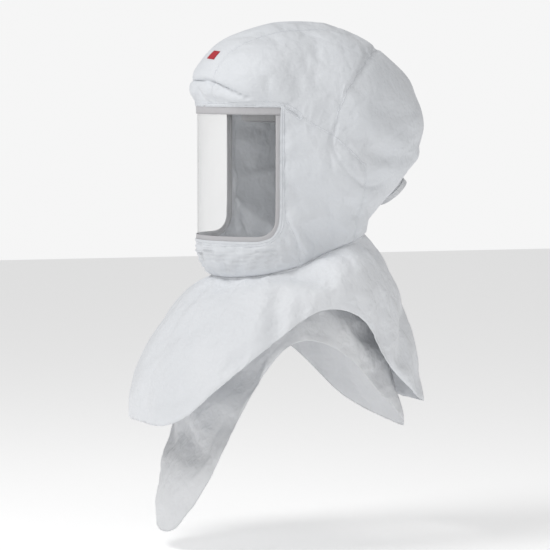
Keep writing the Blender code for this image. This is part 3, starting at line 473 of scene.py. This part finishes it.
def crumple(piece, pinned, growth, pressure, cap, stiffness=6.0, bending=0.4):
    rest = points_of(piece)
    group = piece.vertex_groups.new(name="sewn")
    for number, weight in pinned.items():
        group.add([int(number)], float(weight), "REPLACE")
    cloth = piece.modifiers.new("cloth", "CLOTH")
    cloth.settings.quality = 6
    cloth.settings.mass = 0.15
    cloth.settings.tension_stiffness = stiffness
    cloth.settings.compression_stiffness = stiffness
    cloth.settings.shear_stiffness = stiffness / 2
    cloth.settings.bending_stiffness = bending
    cloth.settings.air_damping = 2.0
    cloth.settings.vertex_group_mass = group.name
    cloth.settings.shrink_min = -growth
    cloth.settings.use_pressure = pressure != 0
    cloth.settings.uniform_pressure_force = pressure
    cloth.settings.effector_weights.gravity = 0
    cloth.collision_settings.use_collision = False
    cloth.collision_settings.use_self_collision = False
    cloth.point_cache.frame_start = 1
    cloth.point_cache.frame_end = CLOTH_FRAMES
    for number in range(1, CLOTH_FRAMES + 1):
        bpy.context.scene.frame_set(number)
    select_only(piece)
    bpy.ops.object.modifier_apply(modifier=cloth.name)
    bpy.context.scene.frame_set(1)
    moved = points_of(piece) - rest
    length = np.linalg.norm(moved, axis=1)
    keep = np.minimum(1.0, cap / np.maximum(length, 1e-9))
    set_points(piece, rest + moved * keep[:, None])
    print(piece.name, "moved up to", round(float(length.max()) * 1000, 1), "mm")


def soft_steps(low, high, values):
    t = np.clip((values - low) / (high - low), 0, 1)
    return t * t * (3 - 2 * t)


def ripples(points, scale, seed):
    """Smooth noise at each point, from about -1 to 1; scale stretches it along the axes."""
    stretch = np.array(scale)
    return np.array([noise.noise(Vector(p * stretch) + Vector((seed, 0, 0))) for p in points])


print("crumple ready")

# %% [markdown]
# ## The hood
#
# The real hood is sewn from a strip over the head, two sides, two cheeks, a back and a pleated chin. The panels
# are joined into one sheet and divided until a face is about 4 mm. Large unevenness and the fold over the visor
# are placed, because they are always in the same place, and the small creases come from the simulation.

# %% Hood
HOOD_NODES = ["crown_strip", "side_panel_left", "side_panel_right", "back_panel", "cheek_panel_left",
              "cheek_panel_right", "chin_panel"]
HOOD_CENTRE = Vector((0, -0.013, -0.05))
SEAM_WELD = 2.4 * MM
SHEET_THICKNESS = 0.6 * MM
BROW_EDGE = 9 * MM


def brow_fold(points):
    """How far the fabric over the visor moves out: a sharp crease under the brow and a puffed fold below it."""
    angle = np.degrees(np.arctan2(np.abs(points[:, 0]), -(points[:, 1] - HOOD_CENTRE.y)))
    z = points[:, 2]
    crease = (39 - 21 * soft_steps(8, 40, angle)) * MM
    puff = (crease + BROW_EDGE) / 2
    near_front = (1 - soft_steps(34, 52, angle)) * (z < 60 * MM)
    depth = np.exp(-np.abs(z - crease) / (3.2 * MM)) * 8.0
    bulge = np.exp(-((z - puff) / (9.0 * MM)) ** 2) * 4.0
    return (bulge - depth) * near_front * MM


def sharp_creases(points, scale, seed, width):
    """Narrow valleys along wandering lines, where pressed fabric has been folded: 1 in a valley, 0 between."""
    return np.exp(-np.abs(ripples(points, scale, seed)) / width)


def hood_folds(points):
    """Large folds of the hood: uneven dome, gathers at the neck, slack folds at the nape, pleats on the chin."""
    x, y, z = points.T
    out = ripples(points, (13, 13, 16), 3.1) * 3.0
    out += ripples(points, (30, 30, 34), 7.7) * 1.6
    neck = 1 - soft_steps(-0.195, -0.110, z)
    out += ripples(points, (60, 60, 9), 1.3) * 4.5 * neck
    nape = soft_steps(0.0, 0.09, y) * (1 - soft_steps(-0.07, 0.02, z))
    out += ripples(points, (11, 11, 42), 5.9) * 6.0 * nape
    side = soft_steps(0.07, 0.10, np.abs(x)) * (1 - soft_steps(-0.03, 0.03, z))
    out += ripples(points, (20, 24, 30), 9.4) * 3.5 * side
    slack = 0.35 + 0.65 * (1 - soft_steps(-0.02, 0.04, z))
    out -= sharp_creases(points, (9, 9, 13), 21.0, 0.05) * 2.4 * slack
    chin = soft_steps(0.060, 0.085, -y) * (1 - soft_steps(-0.176, -0.160, z)) * (z > -0.206)
    out += np.cos(z / (6.2 * MM) * 2 * math.pi + ripples(points, (25, 25, 5), 2.2) * 2.5) * 1.3 * chin
    return out * MM


def push_out(piece, amount):
    set_points(piece, points_of(piece) + normals_of(piece) * amount[:, None])


VISOR_AXIS_Y = -62 * MM
VISOR_R = 97 * MM
FACING_R = 99.4 * MM
FACING_INSET = (121 * MM, -157 * MM, -5 * MM)
FACING_STEPS = (2.0 * MM, 4.4 * MM)


def opening_loop(shape):
    """The open edges round the visor: the loop that holds the foremost high point."""
    rim = [e for e in shape.edges if e.is_boundary]
    links = {}
    for edge in rim:
        for vert in edge.verts:
            links.setdefault(vert, []).append(edge)
    start = max((v for v in links if v.co.z > 0), key=lambda v: -v.co.y)
    found, queue = set(), [start]
    while queue:
        vert = queue.pop()
        for edge in links[vert]:
            if edge not in found:
                found.add(edge)
                queue.extend(edge.verts)
    return sorted(found, key=lambda e: e.index)


def turned_in(point, reach):
    """A point of the opening's edge moved towards the middle of the visor, just outside its binding."""
    angle = math.atan2(point.x, -(point.y - VISOR_AXIS_Y))
    place = np.array([angle * VISOR_R, point.z])
    half, bottom, top = FACING_INSET
    inner = np.array([min(max(place[0], -half), half), min(max(place[1], bottom), top)])
    gap = inner - place
    place = place + gap / max(np.linalg.norm(gap), 1e-6) * reach
    turn = place[0] / VISOR_R
    return Vector((FACING_R * math.sin(turn), VISOR_AXIS_Y - FACING_R * math.cos(turn), place[1]))


def turn_in_edge(hood):
    """A turned edge round the visor's opening, which closes the sheet against the binding."""
    shape = bmesh.new()
    shape.from_mesh(hood.data)
    shape.edges.index_update()
    rim = opening_loop(shape)
    for reach in FACING_STEPS:
        made = bmesh.ops.extrude_edge_only(shape, edges=rim)["geom"]
        fresh = [g for g in made if isinstance(g, bmesh.types.BMVert)]
        for vert in fresh:
            vert.co = turned_in(vert.co, reach if reach == FACING_STEPS[0] else reach - FACING_STEPS[0])
        rim = [g for g in made if isinstance(g, bmesh.types.BMEdge) and g.is_boundary
               and all(v in fresh for v in g.verts)]
    bmesh.ops.recalc_face_normals(shape, faces=shape.faces)
    shape.to_mesh(hood.data)
    shape.free()


def make_hood():
    hood = sewn_sheet("hood_sheet", HOOD_NODES, HOOD_CENTRE, SEAM_WELD)
    turn_in_edge(hood)
    divide(hood, 2)
    rims = distance_to(hood, marked(hood, True))
    seams = distance_to(hood, marked(hood, False))
    free = soft_steps(0.0, 12 * MM, rims)
    points = points_of(hood)
    push_out(hood, (hood_folds(points) + brow_fold(points)) * free)
    pinned = {i: 1.0 for i in marked(hood, True)}
    pinned.update({i: 0.7 for i in marked(hood, False)})
    crumple(hood, pinned, 0.022, 0.25, 8 * MM)
    groove = np.exp(-(seams / (3.0 * MM)) ** 2) * free
    push_out(hood, -groove * 1.4 * MM)
    return hood


hood = make_hood()
print("hood:", len(hood.data.polygons), "faces")

# %% [markdown]
# ## The two shrouds
#
# A shroud is one wide sheet, gathered into the neck and left free at the hem. Fabric that is gathered falls in
# folds that start narrow at the seam and widen downwards, so the folds here follow the angle round the neck and
# grow with the distance from it. Each hem is turned over and sewn, which leaves a thicker edge.

# %% Shrouds
SHROUD_CENTRE = Vector((0, -0.045, -0.30))
SHOULDER_WELD = 5.5 * MM
NECK_Z = -0.215
HEM_FOLD = 8 * MM


def shroud_folds(points, depth, seed):
    x, y, z = points.T
    angle = np.arctan2(x, -(y - SHROUD_CENTRE.y))
    below = soft_steps(0.0, 0.22, NECK_Z + 0.06 - z)
    round_neck = np.stack([np.cos(angle) * 2.4, np.sin(angle) * 2.4, z * 2.2], axis=1)
    narrow = np.stack([np.cos(angle) * 6.5, np.sin(angle) * 6.5, z * 4.0], axis=1)
    out = ripples(round_neck, (1, 1, 1), seed) * 9.0 * below
    out += ripples(narrow, (1, 1, 1), seed + 4) * 4.0
    out += ripples(points, (22, 22, 22), seed + 9) * 2.2
    out -= sharp_creases(points, (8, 8, 6), seed + 30, 0.05) * 2.2
    gathers = np.exp(-np.maximum(0.0, NECK_Z + 0.03 - z) / 0.03)
    out += ripples(np.stack([np.cos(angle) * 22, np.sin(angle) * 22, z * 6], axis=1), (1, 1, 1), seed + 2) * 2.5 * gathers
    return out * depth * MM


def make_shroud(name, nodes, depth, seed, growth):
    piece = sewn_sheet(name, nodes, SHROUD_CENTRE, SHOULDER_WELD)
    divide(piece, 2)
    points = points_of(piece)
    rims = marked(piece, True)
    neck = [i for i in rims if points[i][2] > -0.216]
    hem = [i for i in rims if points[i][2] <= -0.216]
    from_neck = distance_to(piece, neck)
    from_hem = distance_to(piece, hem)
    amount = shroud_folds(points, depth, seed) * soft_steps(0, 18 * MM, from_neck)
    push_out(piece, amount * (0.55 + 0.45 * soft_steps(0, 30 * MM, from_hem)))
    pinned = {i: 1.0 for i in neck}
    pinned.update({i: 0.55 for i in hem})
    crumple(piece, pinned, growth, 0.10, 9 * MM, stiffness=5.0, bending=0.6)
    divide(piece, 1)
    rims = marked(piece, True)
    points = points_of(piece)
    hem = [i for i in rims if points[i][2] <= -0.216]
    edge = distance_to(piece, hem)
    push_out(piece, (soft_steps(HEM_FOLD + 1.5 * MM, HEM_FOLD - 1.0 * MM, edge)) * 0.5 * MM)
    return piece


outer_shroud = make_shroud("outer_shroud", ["outer_bib_front", "outer_bib_rear"], 1.0, 2.0, 0.026)
inner_shroud = make_shroud("inner_shroud", ["inner_bib_front", "inner_bib_rear"], 0.75, 15.0, 0.022)
print("shrouds:", len(outer_shroud.data.polygons), "and", len(inner_shroud.data.polygons), "faces")

# %% [markdown]
# ## Keeping the layers apart
#
# The inner shroud lies inside the outer one. Where the folds of one would reach the other, the inner sheet is
# moved in, because fabric can touch but never pass through.

# %% Layers
LAYER_GAP = 1.5 * MM


def tuck_inside(inner, outer, gap):
    wall = BVHTree.FromObject(outer, bpy.context.evaluated_depsgraph_get())
    points = points_of(inner)
    moved = 0
    for number, point in enumerate(points):
        near, normal, _, far = wall.find_nearest(Vector(point), 0.03)
        if near is None:
            continue
        inside = -(Vector(point) - near).dot(normal)
        if inside < gap and far < 0.025:
            points[number] = point + np.array(-normal * (gap - inside))
            moved += 1
    set_points(inner, points)
    return moved


print("inner points moved in:", tuck_inside(inner_shroud, outer_shroud, LAYER_GAP))

# %% [markdown]
# ## Thickness, finish and size of each sheet
#
# A sheet gets its thickness last.

# %% Finish the sheets
NECK_PIPING_R = 1.5 * MM
NECK_PIPING_LIFT = -0.3 * MM


def neck_line(piece):
    """The shroud's gathered edge as a closed line."""
    shape = bmesh.new()
    shape.from_mesh(piece.data)
    shape.verts.ensure_lookup_table()
    links = {}
    for edge in shape.edges:
        if edge.is_boundary and all(v.co.z > -0.216 for v in edge.verts):
            a, b = edge.verts[0].index, edge.verts[1].index
            links.setdefault(a, []).append(b)
            links.setdefault(b, []).append(a)
    start = sorted(links)[0]
    chain = [start, links[start][0]]
    while True:
        ahead = [v for v in links[chain[-1]] if v != chain[-2]]
        if not ahead or ahead[0] == start:
            break
        chain.append(ahead[0])
    chain.append(start)
    line = [(shape.verts[v].co.copy(), Vector((shape.verts[v].co.x, shape.verts[v].co.y + 0.045, 0)).normalized())
            for v in chain]
    shape.free()
    return line


def thicken(piece, thickness, offset=-1.0):
    step = piece.modifiers.new("thickness", "SOLIDIFY")
    step.thickness = thickness
    step.offset = offset
    step.use_even_offset = False
    select_only(piece)
    bpy.ops.object.modifier_apply(modifier=step.name)


def sheet_area(piece):
    return sum(face.area for face in piece.data.polygons)


def dress(piece, look, nodes):
    piece.data.materials.clear()
    piece.data.materials.append(look)
    for face in piece.data.polygons:
        face.use_smooth = True
        face.material_index = 0
    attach(piece, "root")
    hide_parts(*nodes)


def finish_sheet(piece, look, nodes, flat):
    area = sheet_area(piece)
    thicken(piece, SHEET_THICKNESS)
    dress(piece, look, nodes)
    min(area * 1.02, flat[0] * flat[1])
    print(piece.name, "area", round(area, 3), "of a cut", flat)


neck_source = neck_line(outer_shroud)
seam_source = hood.copy()
seam_source.data = hood.data.copy()
finish_sheet(hood, hood_cloth, HOOD_NODES, (0.62, 0.58))
finish_sheet(outer_shroud, bib_cloth_painted_light, ["outer_bib_front", "outer_bib_rear"], (0.85, 0.62))
finish_sheet(inner_shroud, inner_cloth_painted_shade, ["inner_bib_front", "inner_bib_rear"], (0.62, 0.56))

# %% [markdown]
# ## Seams
#
# Two panels are sewn with their edges turned in, which leaves a narrow raised welt. The sewn edges were marked
# when the panels were joined, so their lines are followed through the finished mesh and each gets a thin welt.

# %% Seam welts
WELT_R = 0.75 * MM


def seam_chains(piece):
    """The sewn edges as lines of points, split where seams meet."""
    shape = bmesh.new()
    shape.from_mesh(piece.data)
    links = {}
    for edge in shape.edges:
        if edge.seam and not edge.is_boundary:
            a, b = edge.verts[0].index, edge.verts[1].index
            links.setdefault(a, []).append(b)
            links.setdefault(b, []).append(a)
    places = [v.co.copy() for v in shape.verts]
    outward = [v.normal.copy() for v in shape.verts]
    shape.free()
    used, chains = set(), []
    ends = [v for v in sorted(links) if len(links[v]) != 2] + sorted(links)
    for start in ends:
        for step in links[start]:
            if (start, step) in used:
                continue
            chain = [start, step]
            used.update([(start, step), (step, start)])
            while len(links[chain[-1]]) == 2:
                ahead = [v for v in links[chain[-1]] if v != chain[-2]][0]
                if (chain[-1], ahead) in used:
                    break
                used.update([(chain[-1], ahead), (ahead, chain[-1])])
                chain.append(ahead)
            if len(chain) > 3:
                chains.append([(places[v], outward[v]) for v in chain])
    return chains


def welt(name, chains, radius, look, lift=0.0):
    """One mesh of thin round welts along lines of (point, outward direction)."""
    data = bpy.data.curves.new(name, "CURVE")
    data.dimensions = "3D"
    data.bevel_depth = radius
    data.bevel_resolution = 1
    data.use_fill_caps = True
    for chain in chains:
        line = data.splines.new("POLY")
        line.points.add(len(chain) - 1)
        for place, (point, outward) in zip(line.points, chain):
            place.co = (*(point + outward * lift), 1)
    made = bpy.data.objects.new(name, data)
    bpy.context.scene.collection.objects.link(made)
    select_only(made)
    bpy.ops.object.convert(target="MESH")
    made = bpy.context.view_layer.objects.active
    made.data.materials.clear()
    made.data.materials.append(look)
    for face in made.data.polygons:
        face.use_smooth = True
    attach(made, "root")
    return made


chains = seam_chains(seam_source)
bpy.data.objects.remove(seam_source)
welt("hood_seams", chains, WELT_R, hood_cloth)
welt("neck_piping", [neck_source], NECK_PIPING_R, bib_cloth_painted_light, NECK_PIPING_LIFT)
print("seam lines:", len(chains))

# %% [markdown]
# ## The visor
#
# The visor is a clear bent sheet held by a grey binding. Its CAD solid has flat facets that would show as
# stripes in reflections, so a smooth copy stands for it. Clear plastic is mostly transparent seen straight on,
# and reflects more at a glancing angle, which Layer Weight gives.

# %% Visor
VISOR_CENTRE = Vector((0, -0.062, -0.08))
LENS_THICKNESS = 0.9 * MM


def clear_finish():
    made = Finish("visor_clear", (0.96, 0.97, 0.98), 0.06)
    facing = made.place.node("ShaderNodeLayerWeight", None, Blend=0.35)
    edge = Value(made.tree, facing.outputs["Facing"])
    smear = made.grain(16.0, 2.0).between(0.45, 0.75)
    made.feed("Alpha", 0.05 + 0.30 * edge ** 2.0 + 0.02 * smear)
    made.feed("Roughness", 0.05 + 0.05 * smear)
    return made.material


def make_lens():
    lens = outer_skin("visor_lens", VISOR_CENTRE)
    lens.name = "visor_film"
    divide(lens, 1)
    thicken(lens, LENS_THICKNESS)
    dress(lens, clear_finish(), ["visor_lens"])
    return lens


lens = make_lens()
print("visor film:", len(lens.data.polygons), "faces")

# %% [markdown]
# ## Binding tape and band
#
# The visor's edge is bound with a woven tape, and a wider band runs along its top. Woven tape has fine ribs
# across it, and it puckers a little at each stitch.

# %% Bindings
def tape_finish(name, light, shade):
    made = Finish(name, light, 0.7)
    ribs = made.grain(600.0, 2.0, made.stretched((1.0, 1.0, 0.25)))
    spots = made.grain(60.0, 3.0)
    made.feed("Base Color", made.blend(ribs * 0.6 + spots * 0.4, shade, light))
    made.feed("Roughness", 0.6 + 0.2 * ribs)
    made.raise_by(ribs * 0.7 + spots * 0.6, 0.0006, 0.6)
    return made.material


grey_tape = tape_finish("grey_tape", (0.60, 0.60, 0.61), (0.48, 0.47, 0.49))


def make_binding(name, node, thickness, pucker, seed):
    piece = outer_skin(node, VISOR_CENTRE)
    piece.name = name
    divide(piece, 2)
    points = points_of(piece)
    wave = ripples(points, (70, 70, 70), seed) * pucker
    push_out(piece, np.clip(wave, -pucker * 0.3, pucker) * MM)
    area = sheet_area(piece)
    thicken(piece, thickness)
    dress(piece, grey_tape, [node])
    return piece, area


top_band, band_area = make_binding("visor_band", "visor_top_band", 0.9 * MM, 0.5, 4.0)
edge_tape, tape_area = make_binding("visor_binding", "visor_edge_tape", 0.9 * MM, 0.4, 8.0)
print("band", round(band_area, 5), "tape", round(tape_area, 5))

# %% [markdown]
# ## Label and elastics
#
# A small woven patch is sewn to the brow. It carries no print. Flat elastic holds the neck, and a ribbed hem
# closes the opening round the air inlet.

# %% Small cloth
LABEL_RED = (0.55, 0.03, 0.05)
LABEL_LIFT = 0.8 * MM
LAY_FROM = 20 * MM


def lay_on(piece, under, lift):
    """Moves a sheet along its normals until it lies just over the sheet below."""
    shape = bmesh.new()
    shape.from_mesh(under.data)
    below = BVHTree.FromBMesh(shape)
    shape.free()
    placed = []
    for point, normal in zip(points_of(piece), normals_of(piece)):
        start = Vector(point) + Vector(normal) * LAY_FROM
        hit = below.ray_cast(start, -Vector(normal), 2 * LAY_FROM)[0]
        placed.append(Vector(point) if hit is None else hit + Vector(normal) * lift)
    set_points(piece, np.array([list(p) for p in placed]))


def small_sheet(name, node, look, centre, thickness, levels=2, under=None):
    piece = outer_skin(node, centre)
    piece.name = name
    divide(piece, levels)
    if under:
        lay_on(piece, under, LABEL_LIFT)
    thicken(piece, thickness)
    dress(piece, look, [node])
    return piece


def elastic_finish():
    made = Finish("elastic_rib", (0.72, 0.72, 0.73), 0.75)
    ribs = made.grain(320.0, 1.0, made.stretched((1.0, 1.0, 0.08)))
    made.feed("Base Color", made.blend(ribs, (0.55, 0.55, 0.57), (0.78, 0.78, 0.79)))
    made.raise_by(ribs, 0.001, 0.7)
    return made.material


label = small_sheet("brow_label", "label_patch", tape_finish("label_red", LABEL_RED, (0.40, 0.02, 0.03)),
                    HOOD_CENTRE, 0.5 * MM, under=hood)
elastic = elastic_finish()
small_sheet("neck_band", "neck_elastic", elastic, SHROUD_CENTRE, 0.9 * MM)
small_sheet("inlet_hem", "inlet_sleeve", elastic, HOOD_CENTRE, 0.9 * MM)

# %% [markdown]
# ## Foam pads
#
# The harness touches the head through two foam pads with a brushed cover. A pad is swollen by the cloth solver
# from the shape of its solid, and capped so that it stays clear of the band behind it.

# %% Pads
def foam_finish():
    made = Finish("foam_cover", (0.16, 0.16, 0.17), 0.9)
    nap = made.grain(700.0, 3.0)
    patches = made.grain(50.0, 2.0)
    made.feed("Base Color", made.blend(nap * 0.6 + patches * 0.4, (0.10, 0.10, 0.11), (0.24, 0.24, 0.25)))
    made.raise_by(nap, 0.0008, 0.8)
    made.shader.inputs["Sheen Weight"].default_value = 0.4
    return made.material


foam_cover = foam_finish()


def make_pad(name, node, voxel, swell):
    source = frame["nodes"][node]
    piece = source.copy()
    piece.data = source.data.copy()
    for key in list(piece.keys()):
        del piece[key]
    piece.parent = None
    piece.name = name
    bpy.context.scene.collection.objects.link(piece)
    select_only(piece)
    bpy.ops.object.mode_set(mode="EDIT")
    bpy.ops.mesh.select_all(action="SELECT")
    bpy.ops.mesh.remove_doubles(threshold=0.02 * MM)
    bpy.ops.object.mode_set(mode="OBJECT")
    piece.data.remesh_voxel_size = voxel
    bpy.ops.object.voxel_remesh()
    soft = piece.modifiers.new("soft", "SMOOTH")
    soft.factor = 0.5
    soft.iterations = 4
    bpy.ops.object.modifier_apply(modifier=soft.name)
    crumple(piece, {}, 0.01, 1.0, swell, stiffness=10.0, bending=1.0)
    dress(piece, foam_cover, [node])
    return piece


sweat_pad = make_pad("sweat_pad", "sweatband", 1.6 * MM, 0.25 * MM)
nape_cushion = make_pad("nape_cushion", "nape_pad", 1.6 * MM, 0.25 * MM)
print("pads:", len(sweat_pad.data.polygons), len(nape_cushion.data.polygons))

# %% [markdown]
# ## Moulded parts
#
# The harness, the duct and the inlet are injection moulded. Such parts have a fine spark texture, a faint
# unevenness from the mould, and shiny worn spots where hands touch them.

# %% Moulded finishes
def moulded(name, light, shade, roughness, texture=1.0):
    made = Finish(name, light, roughness)
    flow = made.grain(22.0, 2.0)
    spark = made.grain(2200.0, 2.0)
    worn = made.grain(75.0, 3.0).between(0.58, 0.72)
    made.feed("Base Color", made.blend(flow, shade, light))
    made.feed("Roughness", roughness + 0.10 * spark - 0.16 * worn)
    made.raise_by(spark * texture + flow * 0.4, 0.0003, 0.5)
    return made.material


def steel_finish():
    made = Finish("screw_steel", (0.60, 0.60, 0.62), 0.3, 1.0)
    lines = made.grain(1500.0, 1.0, made.stretched((1.0, 0.05, 1.0)))
    made.feed("Base Color", made.blend(lines, (0.45, 0.45, 0.47), (0.68, 0.68, 0.70)))
    made.feed("Roughness", 0.22 + 0.2 * lines)
    return made.material


def rubber_finish():
    made = Finish("seal_black", (0.03, 0.03, 0.03), 0.7)
    bloom = made.grain(90.0, 3.0)
    made.feed("Base Color", made.blend(bloom, (0.02, 0.02, 0.02), (0.06, 0.06, 0.06)))
    made.feed("Roughness", 0.6 + 0.25 * bloom)
    made.raise_by(bloom, 0.0003, 0.4)
    return made.material


LOOKS = {
    "harness_plastic": moulded("harness_grey", (0.40, 0.40, 0.41), (0.34, 0.34, 0.35), 0.42),
    "duct_plastic": moulded("duct_pale", (0.76, 0.77, 0.78), (0.69, 0.70, 0.72), 0.45),
    "knob_plastic": moulded("knob_dark", (0.07, 0.07, 0.08), (0.045, 0.045, 0.05), 0.38, 1.6),
    "steel": steel_finish(),
    "seal_rubber": rubber_finish(),
}


def dress_nodes():
    """Gives each CAD node that still shows the finish of its record slot."""
    slots = {row["node"]: row["material_slot"] for row in frame["record"]["subparts"]}
    count = 0
    for name, node in frame["nodes"].items():
        if node.hide_render or slots[name] not in LOOKS:
            continue
        for place in node.material_slots:
            place.material = LOOKS[slots[name]]
        if not node.material_slots:
            node.data.materials.append(LOOKS[slots[name]])
        count += 1
    return count


print("moulded parts dressed:", dress_nodes())
